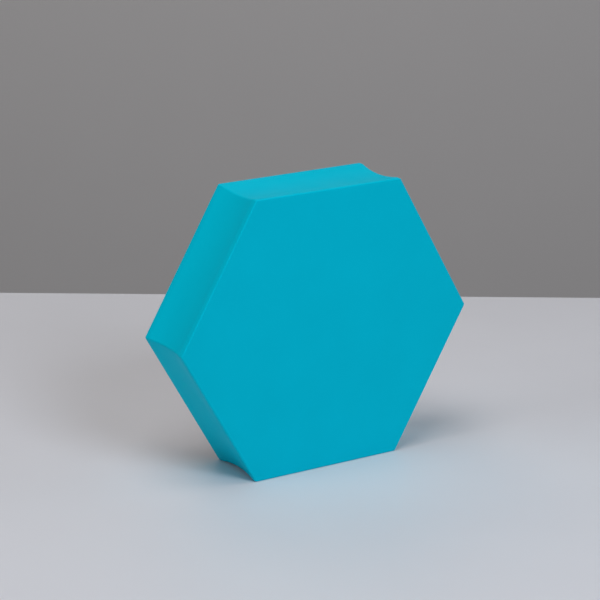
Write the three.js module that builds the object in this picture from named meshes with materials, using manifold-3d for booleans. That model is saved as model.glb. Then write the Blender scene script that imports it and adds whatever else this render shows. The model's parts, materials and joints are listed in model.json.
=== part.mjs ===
// A small hexagonal tumbling barrel, standing on one of its six flanks.
// The barrel's axis runs along Y. The plain closed end faces -Y and the lid end faces +Y.
// A cast polyurethane cup carries a black rubber liner. A six-sided aluminium end plate is screwed
// into brass inserts in the cup's corners. The round lid is held on three studs by wing nuts.
import * as THREE from 'three';
import { mergeVertices } from 'three/addons/utils/BufferGeometryUtils.js';
import Module from 'manifold-3d';

const wasm = await Module();
wasm.setup();

// Driving sizes, in millimetres
const ACROSS_FLATS = 216;
const DEPTH = 55;
const DISH = 2.4; // how far each flank is hollowed at mid depth
const LAND = 4.3; // flat strip beside each end of a flank
const EDGE_ROUND = 1;
const WALL = 6; // thinnest wall, at the middle of a flank
const END_WALL = 6; // closed end
const CORNER_WEB = 21.7; // solid corner, from the sharp edge to the hollow
const GAP = 0.3; // between a piece and what it rests on or sits in

const LINER_WALL = 4;
const FLANGE = 3; // liner flange, gasket and lid seal flange
const RIM_WALL = 4.5; // shell around the end plate, at a land
const PLATE = 5;
const PLATE_BAND = 31.2; // end plate from its flat to the mouth

const INSERT_R = 4.25;
const INSERT_LENGTH = 14;
const INSERT_WALL = 2.45; // shell between the hollow and an insert's bore
const SCREW_R = 2.5;
const SCREW_INTO_INSERT = 10;
const SCREW_HEAD_R = 4.75;
const SCREW_HEAD = 2.75;

const SEAL_BAND = 8; // lid seal over the plate, outside the mouth
const PLUG_CLEARANCE = 0.5;
const STUD_R = 3;
const STUD_BACK = 6; // stud's axis, outside the seal
const STUD_HEAD_R = 4.5;
const STUD_HEAD = 1.5;
const STUD_PAST_NUT = 3;
const LID = 2.5;
const LID_MARGIN = 7; // lid plate outside the studs' circle
const LID_HOLE_CLEARANCE = 0.5;
const WASHER_R = 6;
const WASHER = 1.6;
const HUB_R = 5.6;
const HUB = 8;
const WING_SPAN = 32;
const WING_HEIGHT = 16;
const WING_THICKNESS = 2.4;

// Sizes that follow from those
const APOTHEM = ACROSS_FLATS / 2;
const TO_CORNER = 2 / Math.sqrt(3); // corner radius over apothem
const CAVITY_FLAT = APOTHEM - DISH - WALL;
const CAVITY_CORNER = APOTHEM * TO_CORNER - CORNER_WEB;
const REBATE = APOTHEM - RIM_WALL;
const PLATE_APOTHEM = REBATE - GAP;
const MOUTH_R = PLATE_APOTHEM - PLATE_BAND;
const INSERT_CIRCLE = CAVITY_CORNER + INSERT_WALL + GAP + INSERT_R;
const STUD_CIRCLE = MOUTH_R + SEAL_BAND + STUD_BACK;
const LID_R = STUD_CIRCLE + LID_MARGIN;

const PLATE_BACK = DEPTH - PLATE;
const GASKET_BACK = PLATE_BACK - GAP - FLANGE;
const FLANGE_BACK = GASKET_BACK - GAP - FLANGE;
const LEDGE = FLANGE_BACK - GAP;
const LINER_FRONT = END_WALL + GAP;
const SEAL_BACK = DEPTH + GAP;
const LID_BACK = SEAL_BACK + FLANGE + GAP;
const WASHER_BACK = LID_BACK + LID + GAP;
const NUT_BACK = WASHER_BACK + WASHER + GAP;
const STUD_TIP = NUT_BACK + HUB + STUD_PAST_NUT;
const REAR = NUT_BACK + WING_HEIGHT;

// The part's origin is at the middle of its footprint, on the floor
const MOVE_Y = -REAR / 2;
const MOVE_Z = APOTHEM;

// Turns a three.js geometry into a closed solid, facing outward
function solid(geometry) {
  const bare = new THREE.BufferGeometry();
  bare.setAttribute('position', geometry.attributes.position.clone());
  if (geometry.index) bare.setIndex(geometry.index.clone());
  const merged = mergeVertices(bare, 1e-4);
  const place = merged.attributes.position.array;
  const corners = merged.index.array;
  const kept = [];
  let volume = 0;
  const a = new THREE.Vector3();
  const b = new THREE.Vector3();
  const c = new THREE.Vector3();
  for (let i = 0; i < corners.length; i += 3) {
    const [p, q, r] = [corners[i], corners[i + 1], corners[i + 2]];
    if (p === q || q === r || r === p) continue;
    kept.push(p, q, r);
    a.fromArray(place, 3 * p);
    b.fromArray(place, 3 * q);
    c.fromArray(place, 3 * r);
    volume += a.dot(b.cross(c));
  }
  if (volume < 0) kept.reverse();
  const mesh = new wasm.Mesh({
    numProp: 3,
    vertProperties: new Float32Array(place),
    triVerts: new Uint32Array(kept),
  });
  return new wasm.Manifold(mesh);
}

// A solid turned about the Y axis from [radius, y] pairs that start and end on the axis
function turned(profile, segments, start = 0) {
  const points = profile.map(([radius, y]) => new THREE.Vector2(radius, y));
  return solid(new THREE.LatheGeometry(points, segments, start));
}

// A round bar along Y, between two heights
function bar(radius, low, high, segments) {
  const geometry = new THREE.CylinderGeometry(radius, radius, high - low, segments);
  geometry.translate(0, (low + high) / 2, 0);
  return solid(geometry);
}

// A six-sided bar along Y, given by its apothem. Flats face up and down unless it is turned.
function hexBar(apothem, low, high, start = Math.PI / 6) {
  const corner = apothem * TO_CORNER;
  return turned([[0, low], [corner, low], [corner, high], [0, high]], 6, start);
}

// A twelve-sided bar: a hexagon with its corners cut off
function cutHexBar(flat, corner, low, high) {
  return hexBar(flat, low, high).intersect(hexBar(corner, low, high, 0));
}

const CORNERS = [0, 60, 120, 180, 240, 300];
const STUDS = [-90, 30, 150]; // the first stud is at the top

// A cut-out moved to its place on one of the circles: out along X, then round the Y axis
function around(cut, circle, degrees) {
  return cut.translate([circle, 0, 0]).rotate([0, degrees, 0]);
}

const FINISH = {
  polyurethane: { color: 0x12a5bd, roughness: 0.5, metalness: 0 },
  rubber: { color: 0x1b1b1c, roughness: 0.85, metalness: 0 },
  aluminium: { color: 0xb9bcc0, roughness: 0.38, metalness: 1 },
  stainless: { color: 0xa9abad, roughness: 0.3, metalness: 1 },
  brass: { color: 0xc29a4b, roughness: 0.35, metalness: 1 },
  zinc: { color: 0xb4b7b5, roughness: 0.42, metalness: 1 },
};

// A named mesh with a material of its own. Its geometry starts at y = 0 and is placed at a height
// on the barrel's axis.
function piece(parent, name, part, finish, height) {
  const made = part.getMesh();
  const count = made.vertProperties.length / made.numProp;
  const places = new Float32Array(count * 3);
  for (let i = 0; i < count; i += 1) {
    for (let k = 0; k < 3; k += 1) places[3 * i + k] = made.vertProperties[made.numProp * i + k];
  }
  const geometry = new THREE.BufferGeometry();
  geometry.setAttribute('position', new THREE.BufferAttribute(places, 3));
  geometry.setIndex(new THREE.BufferAttribute(new Uint32Array(made.triVerts), 1));
  geometry.computeVertexNormals();
  const mesh = new THREE.Mesh(geometry, new THREE.MeshStandardMaterial(FINISH[finish]));
  mesh.name = name;
  mesh.position.y = height;
  parent.add(mesh);
}

// A group at one place on a circle around the barrel's axis
function station(parent, circle, degrees) {
  const spoke = new THREE.Group();
  spoke.rotation.y = THREE.MathUtils.degToRad(degrees);
  const place = new THREE.Group();
  place.position.x = circle;
  spoke.add(place);
  parent.add(spoke);
  return place;
}

// Outside of the cup: a hexagon whose flanks are hollowed by a shallow arc between two flat lands
function shellOutside() {
  const profile = [[0, 0]];
  const rounds = 3;
  for (let i = 0; i <= rounds; i += 1) {
    const angle = (Math.PI / 2) * (i / rounds);
    const out = APOTHEM - EDGE_ROUND + EDGE_ROUND * Math.sin(angle);
    profile.push([out * TO_CORNER, EDGE_ROUND - EDGE_ROUND * Math.cos(angle)]);
  }
  const middle = DEPTH / 2;
  const half = middle - LAND;
  const steps = 12;
  for (let i = 0; i <= steps; i += 1) {
    const t = -1 + (2 * i) / steps;
    profile.push([(APOTHEM - DISH * (1 - t * t)) * TO_CORNER, middle + half * t]);
  }
  for (let i = rounds; i >= 0; i -= 1) {
    const angle = (Math.PI / 2) * (i / rounds);
    const out = APOTHEM - EDGE_ROUND + EDGE_ROUND * Math.sin(angle);
    profile.push([out * TO_CORNER, DEPTH - EDGE_ROUND + EDGE_ROUND * Math.cos(angle)]);
  }
  profile.push([0, DEPTH]);
  return turned(profile, 6, Math.PI / 6);
}

// The cup is hollow down to its closed end, with a ledge and a rebate for the end plate
function barrelShell(parent) {
  let shell = shellOutside();
  shell = shell.subtract(cutHexBar(CAVITY_FLAT, CAVITY_CORNER, END_WALL, DEPTH + 1));
  shell = shell.subtract(hexBar(REBATE, LEDGE, DEPTH + 1));
  const bore = bar(INSERT_R + GAP, LEDGE - INSERT_LENGTH - GAP, LEDGE + 1, 16);
  for (const corner of CORNERS) shell = shell.subtract(around(bore, INSERT_CIRCLE, corner));
  piece(parent, 'barrel_shell', shell, 'polyurethane', 0);
}

// Two bands with a groove between them hold each insert in its corner
function cornerInsert() {
  const groove = 0.5;
  const third = INSERT_LENGTH / 3;
  const profile = [
    [0, 0],
    [INSERT_R - groove, 0],
    [INSERT_R, groove],
    [INSERT_R, third],
    [INSERT_R - groove, third + groove],
    [INSERT_R - groove, INSERT_LENGTH - third - groove],
    [INSERT_R, INSERT_LENGTH - third],
    [INSERT_R, INSERT_LENGTH],
    [0, INSERT_LENGTH],
  ];
  return turned(profile, 16).subtract(bar(SCREW_R + GAP, -1, INSERT_LENGTH + 1, 16));
}

// The screws run through the liner's flange, the gasket and the end plate
function screwHoles(part, radius) {
  const hole = bar(radius, -1, DEPTH, 16);
  let cut = part;
  for (const corner of CORNERS) cut = cut.subtract(around(hole, INSERT_CIRCLE, corner));
  return cut;
}

// A rubber cup that follows the hollow, with a flange on the ledge
function liner(parent) {
  const flat = CAVITY_FLAT - GAP;
  const corner = CAVITY_CORNER - GAP;
  const under = FLANGE_BACK - LINER_FRONT;
  const rim = screwHoles(hexBar(PLATE_APOTHEM, 0, FLANGE), SCREW_R + 2 * GAP);
  const inside = cutHexBar(flat - LINER_WALL, corner - LINER_WALL, LINER_WALL, DEPTH);
  const cup = cutHexBar(flat, corner, 0, under + FLANGE).add(rim.translate([0, under, 0]));
  piece(parent, 'liner', cup.subtract(inside), 'rubber', LINER_FRONT);
}

// A flat rubber ring that lines the end plate
function endGasket(parent) {
  const ring = hexBar(PLATE_APOTHEM, 0, FLANGE).subtract(bar(MOUTH_R, -1, FLANGE + 1, 60));
  piece(parent, 'end_gasket', screwHoles(ring, SCREW_R + 2 * GAP), 'rubber', GASKET_BACK);
}

// The end plate lies flush in the rebate. Its inner face is counterbored for the stud heads.
function endPlate(parent) {
  let plate = hexBar(PLATE_APOTHEM, 0, PLATE).subtract(bar(MOUTH_R, -1, PLATE + 1, 60));
  const hole = bar(STUD_R + GAP, -1, PLATE + 1, 16);
  const counterbore = bar(STUD_HEAD_R + GAP, -1, STUD_HEAD + GAP, 16);
  const seat = hole.add(counterbore);
  for (const place of STUDS) plate = plate.subtract(around(seat, STUD_CIRCLE, place));
  piece(parent, 'end_plate', screwHoles(plate, SCREW_R + GAP), 'aluminium', PLATE_BACK);
}

// A button-head screw with a six-sided socket, from its tip
function endScrew() {
  const seat = DEPTH + GAP - LEDGE + SCREW_INTO_INSERT;
  const edge = 0.6;
  const top = seat + SCREW_HEAD;
  const profile = [
    [0, 0],
    [SCREW_R - edge, 0],
    [SCREW_R, edge],
    [SCREW_R, seat],
    [SCREW_HEAD_R, seat],
  ];
  const steps = 3;
  for (let i = 0; i <= steps; i += 1) {
    const angle = (Math.PI / 2) * (i / steps);
    const out = SCREW_R + (SCREW_HEAD_R - SCREW_R) * Math.cos(angle);
    profile.push([out, seat + edge + (SCREW_HEAD - edge) * Math.sin(angle)]);
  }
  profile.push([0, top]);
  return turned(profile, 16).subtract(hexBar(SCREW_R * 0.6, top - 1.6, top + 1));
}

// A stud pressed through the end plate from inside, its head flush in the counterbore
function lidStud() {
  const chamfer = 0.8;
  const tip = STUD_TIP - PLATE_BACK;
  const profile = [
    [0, 0],
    [STUD_HEAD_R, 0],
    [STUD_HEAD_R, STUD_HEAD],
    [STUD_R, STUD_HEAD],
    [STUD_R, tip - chamfer],
    [STUD_R - chamfer, tip],
    [0, tip],
  ];
  return turned(profile, 16);
}

// The lid's rubber: a plug that fills the mouth and a flange that seals on the end plate
function lidSeal(parent) {
  const chamfer = 1;
  const plug = MOUTH_R - PLUG_CLEARANCE;
  const rim = MOUTH_R + SEAL_BAND;
  const under = SEAL_BACK - GASKET_BACK;
  const profile = [
    [0, 0],
    [plug - chamfer, 0],
    [plug, chamfer],
    [plug, under],
    [rim, under],
    [rim, under + FLANGE],
    [0, under + FLANGE],
  ];
  piece(parent, 'lid_seal', turned(profile, 60), 'rubber', GASKET_BACK);
}

// A flat round plate with a clearance hole for each stud
function lidPlate(parent) {
  const chamfer = 0.4;
  const profile = [
    [0, 0],
    [LID_R - chamfer, 0],
    [LID_R, chamfer],
    [LID_R, LID - chamfer],
    [LID_R - chamfer, LID],
    [0, LID],
  ];
  let plate = turned(profile, 72);
  const hole = bar(STUD_R + LID_HOLE_CLEARANCE, -1, LID + 1, 16);
  for (const place of STUDS) plate = plate.subtract(around(hole, STUD_CIRCLE, place));
  piece(parent, 'lid_plate', plate, 'stainless', LID_BACK);
}

function lidWasher() {
  return bar(WASHER_R, 0, WASHER, 24).subtract(bar(STUD_R + GAP, -1, WASHER + 1, 16));
}

// Both wings in one flat shape, standing in the plane of the nut's axis
function wings() {
  const half = WING_SPAN / 2;
  const root = HUB_R - 1.5;
  const foot = 1.5;
  const ear = 4.6;
  const earX = half - ear;
  const earY = WING_HEIGHT - ear;
  const turn = Math.PI * 0.2;
  const shape = new THREE.Shape();
  shape.moveTo(-root, foot);
  shape.lineTo(root, foot);
  shape.quadraticCurveTo(half - 1.5, 4, half, earY);
  shape.absarc(earX, earY, ear, 0, Math.PI - turn, false);
  shape.quadraticCurveTo(root + 1.5, HUB + 1.5, root, HUB - 0.5);
  shape.lineTo(-root, HUB - 0.5);
  shape.quadraticCurveTo(-root - 1.5, HUB + 1.5, ear * Math.cos(turn) - earX,
    earY + ear * Math.sin(turn));
  shape.absarc(-earX, earY, ear, turn, Math.PI, false);
  shape.quadraticCurveTo(1.5 - half, 4, -root, foot);
  const edge = 0.5;
  const geometry = new THREE.ExtrudeGeometry(shape, {
    depth: WING_THICKNESS - 2 * edge,
    bevelThickness: edge,
    bevelSize: edge,
    bevelOffset: -edge,
    bevelSegments: 1,
    curveSegments: 6,
  });
  geometry.translate(0, 0, edge - WING_THICKNESS / 2);
  return solid(geometry);
}

// The wings lie along the lid's edge when the nut is tight
function wingNut() {
  const edge = 0.4;
  const profile = [
    [0, 0],
    [HUB_R - edge, 0],
    [HUB_R, edge],
    [HUB_R - 0.8, HUB - 0.6],
    [HUB_R - 1.4, HUB],
    [0, HUB],
  ];
  const bore = bar(STUD_R + GAP, -1, WING_HEIGHT, 16);
  return turned(profile, 24).add(wings().rotate([0, 90, 0])).subtract(bore);
}

// The barrel, and the lid as it lies closed on it
const part = new THREE.Group();
part.name = 'rock_tumbler_barrel';
const barrel = new THREE.Group();
barrel.position.set(0, MOVE_Y, MOVE_Z);
part.add(barrel);
const lid = new THREE.Group();
barrel.add(lid);

barrelShell(barrel);
liner(barrel);
endGasket(barrel);
endPlate(barrel);
CORNERS.forEach((degrees, index) => {
  const place = station(barrel, INSERT_CIRCLE, degrees);
  const low = LEDGE - INSERT_LENGTH;
  piece(place, `corner_insert_${index + 1}`, cornerInsert(), 'brass', low);
  piece(place, `end_screw_${index + 1}`, endScrew(), 'stainless', LEDGE - SCREW_INTO_INSERT);
});
STUDS.forEach((degrees, index) => {
  const place = station(barrel, STUD_CIRCLE, degrees);
  piece(place, `lid_stud_${index + 1}`, lidStud(), 'stainless', PLATE_BACK);
});

lidSeal(lid);
lidPlate(lid);
STUDS.forEach((degrees, index) => {
  const place = station(lid, STUD_CIRCLE, degrees);
  piece(place, `lid_washer_${index + 1}`, lidWasher(), 'stainless', WASHER_BACK);
  piece(place, `wing_nut_${index + 1}`, wingNut(), 'zinc', NUT_BACK);
});

export default part;
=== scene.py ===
# %% [markdown]
# # A small tumbling barrel for polishing stones
#
# The barrel is a turquoise six-sided cup of cast polyurethane with a plain closed front. Behind, it
# has a black rubber lining, an aluminium end plate and a round steel lid under three wing nuts.
# The measured model is loaded first. It gives every size and place below, in metres, with the
# barrel's axis along Y.

# %% Load the measured model
import json
import math

import bmesh
import bpy
from mathutils import Matrix, Vector


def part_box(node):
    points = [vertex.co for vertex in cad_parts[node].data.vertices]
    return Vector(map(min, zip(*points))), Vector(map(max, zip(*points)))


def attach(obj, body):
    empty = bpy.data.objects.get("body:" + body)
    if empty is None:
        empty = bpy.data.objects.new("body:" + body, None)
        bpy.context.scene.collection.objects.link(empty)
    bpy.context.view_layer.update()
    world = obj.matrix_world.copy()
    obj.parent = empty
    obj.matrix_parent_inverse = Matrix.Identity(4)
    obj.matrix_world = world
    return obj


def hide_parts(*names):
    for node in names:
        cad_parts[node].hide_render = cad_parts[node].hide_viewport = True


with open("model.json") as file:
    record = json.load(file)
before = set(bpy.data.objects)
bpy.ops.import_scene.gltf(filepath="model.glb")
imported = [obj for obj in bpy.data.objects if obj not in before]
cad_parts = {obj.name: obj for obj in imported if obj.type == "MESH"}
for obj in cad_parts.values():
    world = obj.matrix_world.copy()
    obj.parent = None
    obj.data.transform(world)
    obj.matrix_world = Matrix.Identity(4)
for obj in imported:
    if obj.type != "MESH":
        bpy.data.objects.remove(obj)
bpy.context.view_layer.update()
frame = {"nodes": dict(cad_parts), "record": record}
MM = 0.001

# %% [markdown]
# A regular hexagon has one size: its apothem, the distance from its centre to the middle of a side.
# The cup stands on one side, so its apothem is half its height and its axis is that far above the
# table.

# %% Main sizes of the cup
cup_low, cup_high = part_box("barrel_shell")
FRONT, BACK = cup_low.y, cup_high.y
DEPTH = BACK - FRONT
APOTHEM = (cup_high.z - cup_low.z) / 2
AXIS = (0.0, cup_low.z + APOTHEM)
TO_CORNER = 2 / math.sqrt(3)
print("apothem", round(APOTHEM / MM, 2), "mm and depth", round(DEPTH / MM, 2), "mm")

# %% [markdown]
# Most pieces of this barrel are an outline carried along Y. A flat-sided outline is easiest to give
# as its sides, each a direction and a distance from the centre, because that is how it is measured
# with callipers. Each corner is then rounded by an arc that touches both its sides.


# %% Outlines
def outline(sides, fillet, steps=6):
    """Points round an outline whose sides are (direction in degrees, distance)."""
    points = []
    for (from_turn, from_far), (to_turn, to_far) in zip(sides, sides[1:] + sides[:1]):
        a = math.radians(from_turn)
        b = a + math.radians((to_turn - from_turn) % 360)
        p, q = from_far - fillet, to_far - fillet
        x = (p * math.sin(b) - q * math.sin(a)) / math.sin(b - a)
        z = (q * math.cos(a) - p * math.cos(b)) / math.sin(b - a)
        for i in range(steps + 1):
            turn = a + (b - a) * i / steps
            points.append((x + fillet * math.cos(turn), z + fillet * math.sin(turn)))
    return points


def hexagon(apothem, fillet):
    return outline([(30 + 60 * k, apothem) for k in range(6)], fillet)


def circle(radius, steps=96):
    turns = [2 * math.pi * i / steps for i in range(steps)]
    return [(radius * math.cos(turn), radius * math.sin(turn)) for turn in turns]


print("a hexagon is drawn with", len(hexagon(APOTHEM, 2 * MM)), "points")

# %% [markdown]
# Outlines set one behind another become a closed skin: neighbours are joined with four-sided faces
# and the first and last are capped. Blender calls this a loft. Turned pieces are the same thing with
# circles, so one function serves the cup, the plates and the screws.


# %% Lofts
def to_piece(name, shape):
    bmesh.ops.recalc_face_normals(shape, faces=shape.faces)
    mesh = bpy.data.meshes.new(name)
    shape.to_mesh(mesh)
    shape.free()
    piece = bpy.data.objects.new(name, mesh)
    bpy.context.scene.collection.objects.link(piece)
    return piece


def loft(name, rings, centre=AXIS):
    """A closed piece from rings, each an outline and its place along Y."""
    shape = bmesh.new()
    loops = []
    for points, y in rings:
        loops.append([shape.verts.new((centre[0] + x, y, centre[1] + z)) for x, z in points])
    for near, far in zip(loops, loops[1:]):
        for i, start in enumerate(near):
            j = (i + 1) % len(near)
            shape.faces.new((start, near[j], far[j], far[i]))
    shape.faces.new(loops[0])
    shape.faces.new(loops[-1])
    return to_piece(name, shape)


def bar(name, points, low, high, centre=AXIS):
    return loft(name, [(points, low), (points, high)], centre)


def turned(name, profile, centre=AXIS, steps=48):
    """A round piece from (radius, place along Y) pairs."""
    return loft(name, [(circle(radius, steps), y) for radius, y in profile], centre)


print("outlines are set round the barrel's axis, at x and z in mm:", [round(c / MM, 1) for c in AXIS])


# %% [markdown]
# Holes and joins are booleans, as a mill or a mould would make them, and the tools are thrown away
# afterwards. Then every edge gets a small bevel, because no real edge is perfectly sharp and the
# bevel is what catches a line of light. Weighted normals keep large faces flat next to it.


# %% Cutting, joining and softening edges
SHARP = 35


def bake(piece):
    """Turns a piece's modifiers into plain mesh."""
    made = piece.evaluated_get(bpy.context.evaluated_depsgraph_get())
    unused, piece.data = piece.data, bpy.data.meshes.new_from_object(made)
    piece.modifiers.clear()
    bpy.data.meshes.remove(unused)
    return piece


def combine(piece, tools, operation="DIFFERENCE"):
    for tool in tools:
        step = piece.modifiers.new("combine", "BOOLEAN")
        step.operation, step.object, step.solver = operation, tool, "EXACT"
    bake(piece)
    for tool in tools:
        bpy.data.objects.remove(tool)
    return piece


def soften(piece, width, segments=2):
    """Rounds the sharp edges and shades the rest smoothly."""
    if width:
        edge = piece.modifiers.new("edge", "BEVEL")
        edge.width, edge.segments, edge.angle_limit = width, segments, math.radians(SHARP)
        edge.limit_method, edge.miter_outer = "ANGLE", "MITER_ARC"
        bake(piece)
    piece.data.shade_smooth()
    flats = piece.modifiers.new("flats", "WEIGHTED_NORMAL")
    flats.weight, flats.keep_sharp = 100, True
    return bake(piece)


print("an edge is softened where it turns more than", SHARP, "degrees")


# %% [markdown]
# The pieces take their places from the measured model. A small helper gives a node's own axis and
# its extent along Y, and another hands a finished piece over: it rides on its body, stands for the
# measured node, and takes its finish.


# %% Places and handing over
def axis_of(node):
    low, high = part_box(node)
    return ((low.x + high.x) / 2, (low.z + high.z) / 2)


def extent(node):
    low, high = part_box(node)
    return low.y, high.y


def radius_of(node):
    low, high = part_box(node)
    return (high.x - low.x) / 2


BODIES = frame["record"]["behaviour"]["bodies"]
BODY_OF = {node: body for body, nodes in BODIES.items() for node in nodes}


def hand_over(piece, node, finish):
    piece.data.materials.clear()
    piece.data.materials.append(finish)
    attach(piece, BODY_OF[node])
    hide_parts(node)
    print(piece.name, "has", len(piece.data.polygons), "faces")


# %% [markdown]
# A finish is a tree of nodes round one shader. One helper adds any node with its values and links,
# so a recipe reads as a list of what the surface has. Colours are written as on a paint chart, in
# sRGB hex, and turned to linear light here. Patterns are sized in millimetres.


# %% Material helpers
def linear(code):
    shares = [int(code[i : i + 2], 16) / 255 for i in (1, 3, 5)]
    return [s / 12.92 if s <= 0.04045 else ((s + 0.055) / 1.055) ** 2.4 for s in shares] + [1.0]


def add(tree, kind, values=None, links=None):
    """Adds a node. Keys are the node's own settings or its sockets, by name or number."""
    node = tree.nodes.new("ShaderNode" + kind)
    for key, value in (values or {}).items():
        if isinstance(key, str) and hasattr(node, key):
            setattr(node, key, value)
        else:
            node.inputs[key].default_value = value
    for key, source in (links or {}).items():
        tree.links.new(source, node.inputs[key])
    return node


def new_finish(name, **values):
    """A material, its node tree, its shader, and places on the piece in metres."""
    finish = bpy.data.materials.new(name)
    finish.use_nodes = True
    tree = finish.node_tree
    shader = tree.nodes["Principled BSDF"]
    for key, value in values.items():
        shader.inputs[key.replace("_", " ")].default_value = value
    return finish, tree, shader, add(tree, "TexCoord").outputs["Object"]


def every(millimetres):
    """The scale of a pattern that repeats about every so many millimetres."""
    return 1 / (millimetres * MM)


print("middle grey, #808080, is", round(linear("#808080")[0], 3), "in linear light")


# %% [markdown]
# Cast polyurethane. Pigmented resin is poured into an open mould, so the colour goes right through
# and is even, with the faintest clouds. The skin copies the mould's fine blasted grain: it is satin,
# shows no mirror image, and has a pale sheen only where it is seen nearly edge on. A strong pigment
# lets almost no red back, which is why the colour stays so clean.


# %% Cast polyurethane
def cast_polyurethane():
    finish, tree, shader, place = new_finish("cast_polyurethane_satin", IOR=1.5)
    cloud = add(tree, "TexNoise", {"Scale": every(45), "Detail": 3.0}, {"Vector": place})
    share = add(tree, "MapRange", {"From Min": 0.3, "From Max": 0.7}, {"Value": cloud.outputs[0]})
    tint = add(
        tree,
        "Mix",
        {"data_type": "RGBA", 6: linear("#00c8e1"), 7: linear("#00cbe4")},
        {0: share.outputs[0]},
    )
    tree.links.new(tint.outputs[2], shader.inputs["Base Color"])
    # handling polishes some patches a little more than others
    rub = add(tree, "TexNoise", {"Scale": every(20), "Detail": 4.0}, {"Vector": place})
    gloss = add(
        tree,
        "MapRange",
        {"From Min": 0.3, "From Max": 0.7, "To Min": 0.44, "To Max": 0.56},
        {"Value": rub.outputs[0]},
    )
    tree.links.new(gloss.outputs[0], shader.inputs["Roughness"])
    # the real grain is near 0.2 mm and is drawn at 0.8 mm so that it shows
    grain = add(tree, "TexNoise", {"Scale": every(0.8), "Detail": 2.0}, {"Vector": place})
    fine = add(tree, "Bump", {"Strength": 0.35, "Distance": 0.04 * MM}, {"Height": grain.outputs[0]})
    # slow waves where the resin shrank as it cured
    wave = add(tree, "TexNoise", {"Scale": every(28), "Detail": 1.0}, {"Vector": place})
    slow = add(
        tree,
        "Bump",
        {"Strength": 0.35, "Distance": 0.25 * MM},
        {"Height": wave.outputs[0], "Normal": fine.outputs[0]},
    )
    tree.links.new(slow.outputs[0], shader.inputs["Normal"])
    shader.inputs["Specular IOR Level"].default_value = 0.02
    return finish


polyurethane = cast_polyurethane()
print("finish:", polyurethane.name)

# %% [markdown]
# Moulded rubber, for the lining and the seals. Carbon black makes it a deep grey that is never quite
# black. Mould talc stays in the pores as paler patches, and the surface is matte with a soft bloom.


# %% Moulded rubber
def moulded_rubber(name, dark, pale):
    finish, tree, shader, place = new_finish(name, IOR=1.52, Roughness=0.8)
    talc = add(
        tree, "TexNoise", {"Scale": every(14), "Detail": 6.0, "Roughness": 0.6}, {"Vector": place}
    )
    share = add(tree, "MapRange", {"From Min": 0.45, "From Max": 0.75}, {"Value": talc.outputs[0]})
    tint = add(
        tree,
        "Mix",
        {"data_type": "RGBA", 6: linear(dark), 7: linear(pale)},
        {0: share.outputs[0]},
    )
    tree.links.new(tint.outputs[2], shader.inputs["Base Color"])
    # skin of the mould, a pit about every millimetre
    pits = add(tree, "TexNoise", {"Scale": every(1), "Detail": 3.0}, {"Vector": place})
    skin = add(tree, "Bump", {"Strength": 0.5, "Distance": 0.06 * MM}, {"Height": pits.outputs[0]})
    tree.links.new(skin.outputs[0], shader.inputs["Normal"])
    shader.inputs["Sheen Weight"].default_value = 0.15
    return finish


lining_rubber = moulded_rubber("moulded_lining_rubber", "#151516", "#262628")
seal_rubber = moulded_rubber("moulded_seal_rubber", "#1b1b1b", "#303031")
print("finishes:", lining_rubber.name, seal_rubber.name)

# %% [markdown]
# Brushed sheet metal. An abrasive belt leaves fine scratches in one direction. They stretch every
# highlight across the grain, so the pattern is noise squeezed to streaks: it varies quickly across
# the belt and slowly along it. It drives the roughness, a little of the colour and a very low bump.


# %% Brushed sheet metal
def brushed_sheet(name, dark, pale, smooth, rough):
    finish, tree, shader, place = new_finish(name, Metallic=1.0)
    # real scratches are 0.05 mm apart and are drawn at 0.5 mm so that they show
    along = add(tree, "Mapping", {"Scale": (every(60), every(0.5), every(0.5))}, {"Vector": place})
    streak = add(
        tree, "TexNoise", {"Scale": 1.0, "Detail": 4.0, "Roughness": 0.65}, {"Vector": along.outputs[0]}
    )
    share = add(tree, "MapRange", {"From Min": 0.3, "From Max": 0.7}, {"Value": streak.outputs[0]})
    tint = add(
        tree,
        "Mix",
        {"data_type": "RGBA", 6: linear(dark), 7: linear(pale)},
        {0: share.outputs[0]},
    )
    tree.links.new(tint.outputs[2], shader.inputs["Base Color"])
    # finger marks and slurry dull some patches
    marks = add(tree, "TexNoise", {"Scale": every(35), "Detail": 5.0}, {"Vector": place})
    dull = add(tree, "MapRange", {"To Min": -0.06, "To Max": 0.1}, {"Value": marks.outputs[0]})
    gloss = add(
        tree, "MapRange", {"To Min": smooth, "To Max": rough}, {"Value": streak.outputs[0]}
    )
    total = add(tree, "Math", {"operation": "ADD"}, {0: gloss.outputs[0], 1: dull.outputs[0]})
    tree.links.new(total.outputs[0], shader.inputs["Roughness"])
    scratch = add(
        tree, "Bump", {"Strength": 0.12, "Distance": 0.02 * MM}, {"Height": streak.outputs[0]}
    )
    tree.links.new(scratch.outputs[0], shader.inputs["Normal"])
    return finish


milled_aluminium = brushed_sheet("brushed_aluminium_plate", "#b4b8bc", "#d0d3d6", 0.3, 0.46)
stainless_sheet = brushed_sheet("brushed_stainless_sheet", "#b9b8b5", "#d6d5d2", 0.2, 0.36)
print("finishes:", milled_aluminium.name, stainless_sheet.name)

# %% [markdown]
# Small hardware. Turned stainless screws and studs are bright with faint rings from the lathe. The
# wing nuts are zinc-plated castings: bluish grey, a little pitted from the sand and duller than the
# screws. The corner inserts are turned brass with a knurl.


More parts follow.
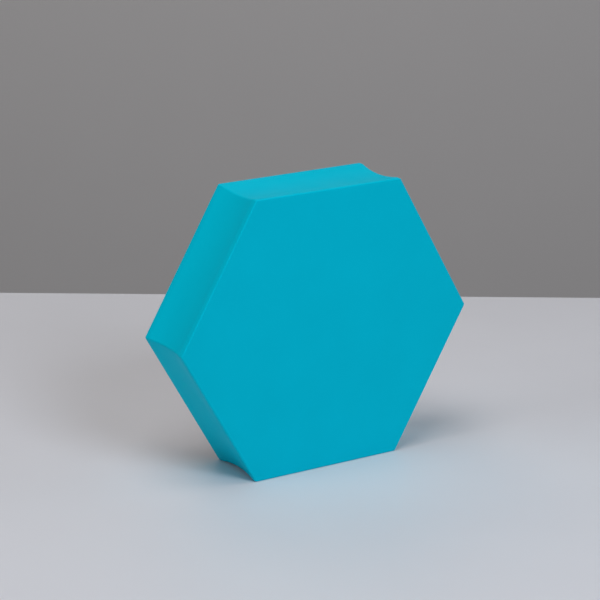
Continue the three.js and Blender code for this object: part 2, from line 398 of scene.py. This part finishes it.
# %% Turned and cast metal
def small_hardware(name, dark, pale, smooth, rough, grain_mm, depth_mm):
    finish, tree, shader, place = new_finish(name, Metallic=1.0)
    film = add(tree, "TexNoise", {"Scale": every(6), "Detail": 5.0}, {"Vector": place})
    share = add(tree, "MapRange", {"From Min": 0.35, "From Max": 0.65}, {"Value": film.outputs[0]})
    tint = add(
        tree,
        "Mix",
        {"data_type": "RGBA", 6: linear(dark), 7: linear(pale)},
        {0: share.outputs[0]},
    )
    tree.links.new(tint.outputs[2], shader.inputs["Base Color"])
    gloss = add(tree, "MapRange", {"To Min": smooth, "To Max": rough}, {"Value": film.outputs[0]})
    tree.links.new(gloss.outputs[0], shader.inputs["Roughness"])
    grain = add(tree, "TexNoise", {"Scale": every(grain_mm), "Detail": 3.0}, {"Vector": place})
    tooled = add(
        tree, "Bump", {"Strength": 0.4, "Distance": depth_mm * MM}, {"Height": grain.outputs[0]}
    )
    tree.links.new(tooled.outputs[0], shader.inputs["Normal"])
    return finish


turned_stainless = small_hardware("turned_stainless", "#b3b2ae", "#cfcecb", 0.18, 0.36, 0.5, 0.01)
cast_zinc = small_hardware("zinc_plated_casting", "#a5abb0", "#c6cacb", 0.3, 0.5, 0.7, 0.05)
turned_brass = small_hardware("turned_brass", "#b08d45", "#d2b165", 0.25, 0.42, 0.6, 0.03)
print("finishes:", turned_stainless.name, cast_zinc.name, turned_brass.name)

# %% [markdown]
# The cup, outside. Its six sides are dished: flat for a few millimetres at each end, then hollowed
# along a shallow arc, so that it bears on two clean strips. It is lofted from hexagons whose apothem
# follows that arc. The long corners keep a 2 mm round and the rims a 1 mm round from the mould.

# %% Outside of the cup
DISH = 2.4 * MM
LAND = 4.3 * MM
RIM_ROUND = 1.0 * MM
CORNER_ROUND = 2.0 * MM
# each end face starts from a hexagon this much smaller, so that it closes flat
END_RING = 12 * MM

rim = [
    (RIM_ROUND * (1 - math.sin(turn)), RIM_ROUND * (1 - math.cos(turn)))
    for turn in [math.pi / 2 * i / 4 for i in range(5)]
]
sides = [
    (DISH * (1 - t * t), DEPTH / 2 + (DEPTH / 2 - LAND) * t)
    for t in [i / 12 for i in range(-12, 13)]
]
profile = [(END_RING, 0.0)] + rim + sides
profile += [(inward, DEPTH - y) for inward, y in reversed(rim)] + [(END_RING, DEPTH)]
cup = loft("cup", [(hexagon(APOTHEM - inward, CORNER_ROUND), FRONT + y) for inward, y in profile])
print("the cup's outside has", len(profile), "rings")

# %% [markdown]
# The cup, inside. A rebate takes the end plate, a twelve-sided hollow takes the lining, and a blind
# bore in each corner takes a brass insert. Each cutter is the piece that goes in, plus the working
# gap all round, so the cup always fits its contents.

# %% Inside of the cup
GAP = 0.3 * MM
WALL = 6.0 * MM
CORNER_WEB = 21.7 * MM
FLANGE = 3.0 * MM
# a cutter runs this far past the face that it opens
PAST = 10 * MM
PLATE_APOTHEM = (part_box("end_plate")[1].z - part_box("end_plate")[0].z) / 2
LEDGE = extent("liner")[1] - FLANGE - GAP
HOLLOW_SIDE = APOTHEM - DISH - WALL
HOLLOW_CORNER = APOTHEM * TO_CORNER - CORNER_WEB
CORNERS = range(1, 7)
STUDS = range(1, 4)


def hollow(shrink, fillet):
    """The twelve-sided outline of the hollow: a hexagon with its corners cut off."""
    inside = []
    for k in range(6):
        inside.append((30 + 60 * k, HOLLOW_SIDE - shrink))
        inside.append((60 + 60 * k, HOLLOW_CORNER - shrink))
    return outline(inside, fillet, 4)


bottom = extent("liner")[0] - GAP
cutters = [
    bar("cut_rebate", hexagon(PLATE_APOTHEM + GAP, 1.2 * MM), LEDGE, BACK + PAST),
    bar("cut_hollow", hollow(0, 4 * MM), bottom, BACK + PAST),
]
insert_low, insert_high = extent("corner_insert_1")
INSERT_R = radius_of("corner_insert_1")
for k in CORNERS:
    bore = circle(INSERT_R + GAP, 48)
    cutters.append(bar("cut_bore", bore, insert_low - GAP, BACK, axis_of(f"corner_insert_{k}")))
combine(cup, cutters)
soften(cup, 0)
hand_over(cup, "barrel_shell", polyurethane)

# %% [markdown]
# The lining, a loose rubber cup that keeps the stones off the plastic. Its flange lies on the
# ledge, under a flat gasket, and both are pinched by the end plate. The screws pass through them.

# %% Lining and gasket
LINER_WALL = 4.0 * MM
screw_low, screw_high = extent("end_screw_1")
SCREW_R = 2.5 * MM
MOUTH_R = 72 * MM


def screw_holes(radius, low, high):
    return [bar("cut_screw", circle(radius, 32), low, high, axis_of(f"end_screw_{k}")) for k in CORNERS]


low, high = extent("liner")
lining = bar("lining", hollow(GAP, 3.7 * MM), low, high - FLANGE / 2)
combine(lining, [bar("join_flange", hexagon(PLATE_APOTHEM, 1 * MM), high - FLANGE, high)], "UNION")
inside = bar("cut_inside", hollow(GAP + LINER_WALL, 5 * MM), low + LINER_WALL, high + PAST)
combine(lining, [inside] + screw_holes(SCREW_R + 2 * GAP, low, high + PAST))
soften(lining, 0.6 * MM)
hand_over(lining, "liner", lining_rubber)

low, high = extent("end_gasket")
gasket = bar("gasket", hexagon(PLATE_APOTHEM, 1 * MM), low, high)
mouth = bar("cut_mouth", circle(MOUTH_R, 144), low - PAST, high + PAST)
combine(gasket, [mouth] + screw_holes(SCREW_R + 2 * GAP, low - PAST, high + PAST))
soften(gasket, 0.4 * MM)
hand_over(gasket, "end_gasket", lining_rubber)

# %% [markdown]
# The end plate is cut from 5 mm aluminium sheet and lies flush in the rebate. The mouth is bored in
# it, and each stud has a through hole with a counterbore on the inner face for its head. Milled
# edges are broken with a fine chamfer.

# %% End plate
low, high = extent("end_plate")
STUD_R = 3.0 * MM
STUD_HEAD_R = 4.5 * MM
STUD_HEAD = 1.5 * MM
plate = bar("end_cover_plate", hexagon(PLATE_APOTHEM, 1 * MM), low, high)
cutters = [bar("cut_mouth", circle(MOUTH_R, 144), low - PAST, high + PAST)]
cutters += screw_holes(SCREW_R + GAP, low - PAST, high + PAST)
for k in STUDS:
    place = axis_of(f"lid_stud_{k}")
    cutters.append(bar("cut_hole", circle(STUD_R + GAP, 32), low - PAST, high + PAST, place))
    seat = circle(STUD_HEAD_R + GAP, 48)
    cutters.append(bar("cut_seat", seat, low - PAST, low + STUD_HEAD + GAP, place))
combine(plate, cutters)
soften(plate, 0.35 * MM)
hand_over(plate, "end_plate", milled_aluminium)

# %% [markdown]
# The end plate is held by six M5 button-head screws. A button head is a low dome over a short
# straight rim, with a hexagon socket broached into it. The dome is a quarter ellipse, turned.

# %% Button-head screws
HEAD_R = 4.75 * MM
HEAD = 2.75 * MM
HEAD_RIM = 0.6 * MM
CROWN_R = SCREW_R * 0.86
SOCKET = 1.6 * MM
SOCKET_APOTHEM = 1.5 * MM
under_head = screw_high - HEAD
dome = [
    (
        CROWN_R + (HEAD_R - CROWN_R) * math.cos(turn),
        HEAD_RIM + (HEAD - HEAD_RIM) * math.sin(turn),
    )
    for turn in [math.pi / 2 * i / 8 for i in range(9)]
]
shank = [(SCREW_R - 0.6 * MM, screw_low), (SCREW_R, screw_low + 0.6 * MM), (SCREW_R, under_head)]
head = [(HEAD_R - 0.15 * MM, under_head), (HEAD_R, under_head + 0.15 * MM)]
screw_profile = shank + head + [(radius, under_head + up) for radius, up in dome]
for k in CORNERS:
    place = axis_of(f"end_screw_{k}")
    screw = turned(f"button_screw_{k}", screw_profile, place)
    key = hexagon(SOCKET_APOTHEM, 0.1 * MM)
    socket = bar("cut_socket", key, screw_high - SOCKET, screw_high + MM, place)
    combine(screw, [socket])
    soften(screw, 0.12 * MM)
    hand_over(screw, f"end_screw_{k}", turned_stainless)

# %% [markdown]
# The corner inserts are buried in the cup and only show when it is taken apart. Their measured shape
# is already right, so they keep it and only get their brass.

# %% Corner inserts
for k in CORNERS:
    insert = frame["nodes"][f"corner_insert_{k}"]
    insert.data.materials.clear()
    insert.data.materials.append(turned_brass)
print("six inserts, each", round((insert_high - insert_low) / MM, 1), "mm long")

# %% [markdown]
# The lid is held on three M6 studs. The thread is real geometry: seen along the stud, its radius
# rises and falls once per turn and once per millimetre, so one grid of points round and along the
# stud draws the whole helix. A coarser grid would show steps, a finer one nothing more.

# %% Studs
PITCH = 1.0 * MM
THREAD_DEPTH = 0.55 * MM
ROUND_STEPS = 28
ROWS_PER_TURN = 8
# the crest and the flank, as shares of half a turn; the rest is the flat root
CREST, SLOPE = 0.12, 0.66


def thread_radius(turns):
    """A V thread with a flat crest and a flat root, for a place given in turns."""
    share = abs((turns % 1) * 2 - 1)
    return STUD_R - THREAD_DEPTH * min(max((share - CREST) / SLOPE, 0), 1)


def threaded_stud(name, node):
    low, high = extent(node)
    top = low + STUD_HEAD
    start = BACK - 1 * MM
    rings = [
        (circle(STUD_HEAD_R - 0.2 * MM, ROUND_STEPS), low),
        (circle(STUD_HEAD_R, ROUND_STEPS), low + 0.2 * MM),
        (circle(STUD_HEAD_R, ROUND_STEPS), top),
        (circle(STUD_R, ROUND_STEPS), top),
        (circle(STUD_R, ROUND_STEPS), start),
    ]
    rows = round((high - start) / PITCH * ROWS_PER_TURN)
    for row in range(1, rows + 1):
        y = start + PITCH * row / ROWS_PER_TURN
        tip = STUD_R - max(0, y - (high - 0.8 * MM))
        ring = []
        for i in range(ROUND_STEPS):
            share = i / ROUND_STEPS
            radius = min(thread_radius(row / ROWS_PER_TURN - share), tip)
            ring.append((radius * math.cos(2 * math.pi * share), radius * math.sin(2 * math.pi * share)))
        rings.append((ring, min(y, high)))
    return loft(name, rings, axis_of(node))


for k in STUDS:
    stud = threaded_stud(f"threaded_stud_{k}", f"lid_stud_{k}")
    soften(stud, 0)
    hand_over(stud, f"lid_stud_{k}", turned_stainless)

# %% [markdown]
# The lid's rubber plugs the mouth, and its flange seals on the end plate. It is one moulding, so it
# is turned as one profile with rounded edges.

# %% Lid seal
low, high = extent("lid_seal")
plug_r = MOUTH_R - 0.5 * MM
rim_r = radius_of("lid_seal")
under = high - FLANGE
lid_rubber = turned(
    "lid_rubber",
    [(plug_r - 2 * MM, low), (plug_r, low + 2 * MM), (plug_r, under), (rim_r, under), (rim_r, high)],
    steps=144,
)
soften(lid_rubber, 0.6 * MM, 3)
hand_over(lid_rubber, "lid_seal", seal_rubber)

# %% [markdown]
# The lid itself is a blanked disc of 2.5 mm stainless steel. Blanking rolls the upper edge over a
# little, and the three stud holes are deburred.

# %% Lid plate
low, high = extent("lid_plate")
lid_r = radius_of("lid_plate")
lid = turned("lid_disc", [(lid_r, low), (lid_r, high)], steps=192)
holes = [
    bar("cut_stud", circle(STUD_R + 0.5 * MM, 48), low - MM, high + MM, axis_of(f"lid_stud_{k}"))
    for k in STUDS
]
combine(lid, holes)
soften(lid, 0.4 * MM, 3)
hand_over(lid, "lid_plate", stainless_sheet)

# %% [markdown]
# Washers are blanked too, so they get the same treatment at a smaller size.

# %% Washers
for k in STUDS:
    node = f"lid_washer_{k}"
    low, high = extent(node)
    washer = bar(f"plain_washer_{k}", circle(radius_of(node), 64), low, high, axis_of(node))
    hole = bar("cut_hole", circle(STUD_R + GAP, 48), low - MM, high + MM, axis_of(node))
    combine(washer, [hole])
    soften(washer, 0.2 * MM)
    hand_over(washer, node, turned_stainless)

# %% [markdown]
# A wing nut is a round hub with two ears for finger and thumb. One ear is drawn first, as a flat
# outline: up from the hub along a curve, round the ear on an arc, and back down along another
# curve. Two curves and an arc are all that the pattern maker's drawing needs.

# %% Outline of a wing
HUB_R = 5.6 * MM
HUB = 8.0 * MM
WING_SPAN = 32 * MM
EAR_R = 4.6 * MM


def wing_outline(height):
    """One wing, as points across and along the nut's axis."""
    half = WING_SPAN / 2 - 0.2 * MM
    ear_at = (half - EAR_R, height - 0.2 * MM - EAR_R)
    points = [(0.0, 1.6 * MM), (HUB_R - 1 * MM, 1.8 * MM)]
    for i in range(1, 8):
        t = i / 8
        x = (1 - t) ** 2 * (HUB_R - 1 * MM) + 2 * t * (1 - t) * (half - 1.5 * MM) + t * t * half
        y = (1 - t) ** 2 * 1.8 * MM + 2 * t * (1 - t) * 4.2 * MM + t * t * ear_at[1]
        points.append((x, y))
    for i in range(13):
        turn = math.pi * 0.8 * i / 12
        points.append((ear_at[0] + EAR_R * math.cos(turn), ear_at[1] + EAR_R * math.sin(turn)))
    start = points[-1]
    for i in range(1, 8):
        t = i / 8
        x = (1 - t) ** 2 * start[0] + 2 * t * (1 - t) * (HUB_R + 0.8 * MM) + t * t * (HUB_R - 1.2 * MM)
        y = (1 - t) ** 2 * start[1] + 2 * t * (1 - t) * (HUB + 1.2 * MM) + t * t * (HUB - 0.6 * MM)
        points.append((x, y))
    points.append((0.0, HUB - 0.6 * MM))
    return points


low, high = extent("wing_nut_1")
nut_height = high - low
print("one wing is drawn with", len(wing_outline(nut_height)), "points")

# %% [markdown]
# Castings have no sharp inside corners. Hub and wings are joined first, then the whole is remeshed
# to a fine even skin and relaxed, which flows the joints into fillets the way molten metal does. The
# bore is machined afterwards, so its edge stays crisp.


# %% Casting of the wing nut
WING_THICKNESS = 2.4 * MM


def wing_plate(name, height, side):
    """Both faces of one wing, standing in the plane X = 0 and pointing along Z."""
    shape = bmesh.new()
    faces = []
    for thick in (-WING_THICKNESS / 2, WING_THICKNESS / 2):
        faces.append([shape.verts.new((thick, y, side * z)) for z, y in wing_outline(height)])
    shape.faces.new(faces[0])
    shape.faces.new(faces[1])
    for i in range(len(faces[0])):
        j = (i + 1) % len(faces[0])
        shape.faces.new((faces[0][i], faces[0][j], faces[1][j], faces[1][i]))
    return to_piece(name, shape)


def casting(name, height):
    seat = [(HUB_R - 0.3 * MM, 0), (HUB_R, 0.3 * MM)]
    shoulder = [(HUB_R - 0.8 * MM, HUB - 0.8 * MM), (HUB_R - 1.6 * MM, HUB)]
    nut = turned(name, seat + shoulder, (0, 0))
    combine(nut, [wing_plate("join_wing", height, 1), wing_plate("join_wing", height, -1)], "UNION")
    skin = nut.modifiers.new("skin", "REMESH")
    skin.mode, skin.voxel_size = "VOXEL", 0.3 * MM
    relax = nut.modifiers.new("relax", "SMOOTH")
    relax.factor, relax.iterations = 0.5, 8
    bake(nut)
    combine(nut, [bar("cut_bore", circle(STUD_R + GAP, 48), -HUB, 2 * HUB, (0, 0))])
    nut.data.shade_smooth()
    return nut


pattern = casting("casting_pattern", nut_height)
print("the casting has", len(pattern.data.polygons), "faces")

# %% [markdown]
# One casting serves all three studs. When a nut is tight its wings lie along the lid's edge, so each
# copy is turned about its own stud to that direction.

# %% Place the wing nuts
for k in STUDS:
    node = f"wing_nut_{k}"
    x, z = axis_of(f"lid_stud_{k}")
    nut = bpy.data.objects.new(f"cast_wing_nut_{k}", pattern.data.copy())
    bpy.context.scene.collection.objects.link(nut)
    outward = math.atan2(x - AXIS[0], z - AXIS[1])
    nut.data.transform(Matrix.Rotation(outward + math.pi / 2, 4, "Y"))
    nut.data.transform(Matrix.Translation((x, extent(node)[0], z)))
    hand_over(nut, node, cast_zinc)
bpy.data.objects.remove(pattern)

# %% [markdown]
# The camera stands in front and to the left, looking a little down through a long lens, which keeps
# the hexagon's sides nearly parallel. Its place is given in apothems from the foot of the front face.

# %% Camera
TURN, TILT, ROLL = math.radians(32.36), math.radians(-17.55), math.radians(0.49)
ahead = Vector((math.sin(TURN), math.cos(TURN), 0))
across = Vector((math.cos(TURN), -math.sin(TURN), 0))
looking = ahead * math.cos(TILT) + Vector((0, 0, math.sin(TILT)))
SENSOR_MM, LENS_MM = 36, 140.3
camera_data = bpy.data.cameras.new("camera")
camera_data.sensor_width, camera_data.lens = SENSOR_MM, LENS_MM
camera_data.clip_start, camera_data.clip_end = 0.05, 50
camera = bpy.data.objects.new("camera", camera_data)
bpy.context.scene.collection.objects.link(camera)
camera_at = Vector((-8.313, -12.752, 6.030)) * APOTHEM + Vector((0, FRONT, cup_low.z))
camera.matrix_world = (
    Matrix.Translation(camera_at)
    @ looking.to_track_quat("-Z", "Y").to_matrix().to_4x4()
    @ Matrix.Rotation(ROLL, 4, "Z")
)
bpy.context.scene.camera = camera
print("the camera is", round(camera_at.length, 2), "m away")

# %% [markdown]
# The barrel stands on a pale painted table whose rear edge shows, in front of a plain grey wall. Both
# are square to the camera. The wall is far enough back for the barrel to be seen from behind too.


# %% Table and wall
def painted(name, dark, pale, rough):
    finish, tree, shader, place = new_finish(name, Roughness=rough)
    roller = add(tree, "TexNoise", {"Scale": every(120), "Detail": 3.0}, {"Vector": place})
    tint = add(
        tree,
        "Mix",
        {"data_type": "RGBA", 6: linear(dark), 7: linear(pale)},
        {0: roller.outputs[0]},
    )
    tree.links.new(tint.outputs[2], shader.inputs["Base Color"])
    # roller stipple, about 2 mm apart
    stipple = add(tree, "TexNoise", {"Scale": every(2), "Detail": 2.0}, {"Vector": place})
    texture = add(tree, "Bump", {"Strength": 0.2, "Distance": 0.05 * MM}, {"Height": stipple.outputs[0]})
    tree.links.new(texture.outputs[0], shader.inputs["Normal"])
    shader.inputs["Specular IOR Level"].default_value = 0.3
    return finish


def slab(name, corner, opposite, finish, round_mm):
    """A box between two corners given as (across, ahead, up), square to the camera."""
    shape = bmesh.new()
    bmesh.ops.create_cube(shape, size=1)
    for point in shape.verts:
        share = [0.5 + c for c in point.co]
        x, y, z = [a + (b - a) * s for a, b, s in zip(corner, opposite, share)]
        point.co = across * x + ahead * y + Vector((0, 0, z))
    stand = to_piece(name, shape)
    soften(stand, round_mm * MM, 4)
    stand.data.materials.append(finish)
    return stand


foot = cup_low.z
TABLE_THICK = 0.04
WALL_AHEAD = 1.9
# the rear edge of the table, a little under four apothems behind the barrel's front
edge_ahead = ahead.y * FRONT + 3.99 * APOTHEM
table_paint = painted("pale_table_paint", "#e5e3e6", "#eae8eb", 0.5)
wall_paint = painted("grey_wall_paint", "#f4ede9", "#f7f0ec", 0.9)
slab("table", (-3.0, -3.2, foot - TABLE_THICK), (3.0, edge_ahead, foot), table_paint, 1.5)
slab("wall", (-5.0, WALL_AHEAD, -1.2), (5.0, 2.0, 3.0), wall_paint, 0)
print("the table ends", round(edge_ahead, 3), "m behind the barrel")

# %% [markdown]
# The light is a plain soft studio light: softboxes above the barrel on all sides, each given by how
# far it stands round to the left of the barrel's front, its height in degrees and its size. The
# front one lights the hexagon and throws a soft shadow behind it. The wide one overhead lights the
# top and the table, and darkens the table at the right foot. The others only fill the shadows.
# Colours are shown as they are, with no film curve.


# %% Light
centre = Vector((0, 0, foot + APOTHEM))
LAMPS_AWAY = 2.2
ROOM_GLOW = 0.02


def softbox(name, turn, tilt, size, power, tint):
    light = bpy.data.lights.new(name, "AREA")
    light.shape, light.size, light.energy = "SQUARE", size, power
    light.color = linear(tint)[:3]
    lamp = bpy.data.objects.new(name, light)
    bpy.context.scene.collection.objects.link(lamp)
    turn, tilt = math.radians(turn), math.radians(tilt)
    level = Vector((-math.sin(turn), -math.cos(turn), 0)) * math.cos(tilt)
    towards = level + Vector((0, 0, math.sin(tilt)))
    lamp.location = centre + towards * LAMPS_AWAY
    lamp.rotation_euler = (-towards).to_track_quat("-Z", "Y").to_euler()


softbox("front", -2, 36, 0.85, 18.4, "#e8f2ff")
softbox("left", 95, 27, 1.0, 7, "#f0f7ff")
softbox("right", -65, 30, 1.0, 3, "#e8f2ff")
softbox("overhead", 55, 74, 1.4, 19.3, "#ffffff")
softbox("behind", 180, 50, 0.9, 3, "#fff6ea")
world = bpy.data.worlds.new("room")
world.use_nodes = True
room = world.node_tree.nodes["Background"]
room.inputs["Color"].default_value = linear("#ffffff")
room.inputs["Strength"].default_value = ROOM_GLOW
bpy.context.scene.world = world
bpy.context.scene.view_settings.view_transform = "Standard"
